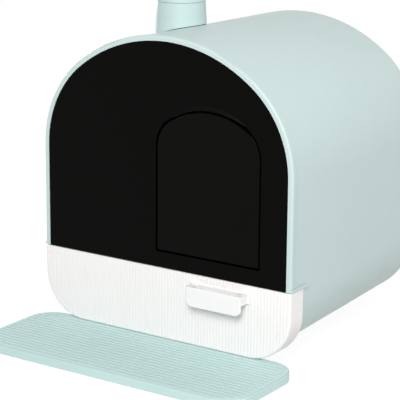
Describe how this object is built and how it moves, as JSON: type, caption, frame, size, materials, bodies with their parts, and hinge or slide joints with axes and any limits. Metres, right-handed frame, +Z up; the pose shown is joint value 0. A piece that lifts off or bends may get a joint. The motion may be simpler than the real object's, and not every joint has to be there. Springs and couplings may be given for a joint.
{
  "type": "covered litter box",
  "caption": "Covered cat litter box with a barrel hood, swinging cat flap, pull-out litter drawer, vent stack with odour filter and a ribbed front step.",
  "frame": {"origin": "on the floor, under the middle of the whole object in plan, the step included", "axes": "+Z up, -Y to the front with the cat flap, +X to the right seen from the front"},
  "size_m": [0.419, 0.51, 0.4788],
  "materials": {
    "mint_plastic": "satin moulded",
    "step_plastic": "satin moulded",
    "black_gloss": "gloss",
    "white_plastic": "satin moulded",
    "pan_plastic": "satin moulded",
    "gasket_rubber": "matte",
    "foot_rubber": "matte",
    "carbon_felt": "felted",
    "steel": "zinc plated",
    "black_steel": "black oxide"
  },
  "bodies": {
    "housing": {"hood_shell": "mint_plastic", "front_panel": "black_gloss", "panel_screws": "steel", "chimney_stack": "mint_plastic", "chimney_gasket": "gasket_rubber", "chimney_screws": "steel", "foot_front_left": "foot_rubber", "foot_front_right": "foot_rubber", "foot_rear_left": "foot_rubber", "foot_rear_right": "foot_rubber"},
    "flap": {"door_flap": "black_gloss", "flap_pin_left": "black_steel", "flap_pin_right": "black_steel"},
    "drawer": {"drawer_front": "white_plastic", "drawer_front_screws": "steel", "drawer_handle": "white_plastic", "handle_screws": "steel", "drawer_pan": "pan_plastic"},
    "cap": {"chimney_cap": "mint_plastic", "filter_basket": "white_plastic", "carbon_filter": "carbon_felt"},
    "step": {"step_board": "step_plastic", "step_pad_1": "foot_rubber", "step_pad_2": "foot_rubber", "step_pad_3": "foot_rubber", "step_pad_4": "foot_rubber"}
  },
  "joints": [
    {"name": "flap_swing", "type": "hinge", "parent": "housing", "child": "flap", "pos_m": [0.0702, -0.105, 0.272], "axis": [1, 0, 0], "range_deg": [-80, 80]},
    {"name": "drawer_slide", "type": "slide", "parent": "housing", "child": "drawer", "axis": [0, -1, 0], "range_m": [0, 0.3]},
    {"name": "cap_lift", "type": "slide", "parent": "housing", "child": "cap", "axis": [0, 0, 1], "range_m": [0, 0.06]},
    {"name": "step_pull", "type": "slide", "parent": "housing", "child": "step", "axis": [0, -1, 0], "range_m": [0, 0.16]}
  ]
}
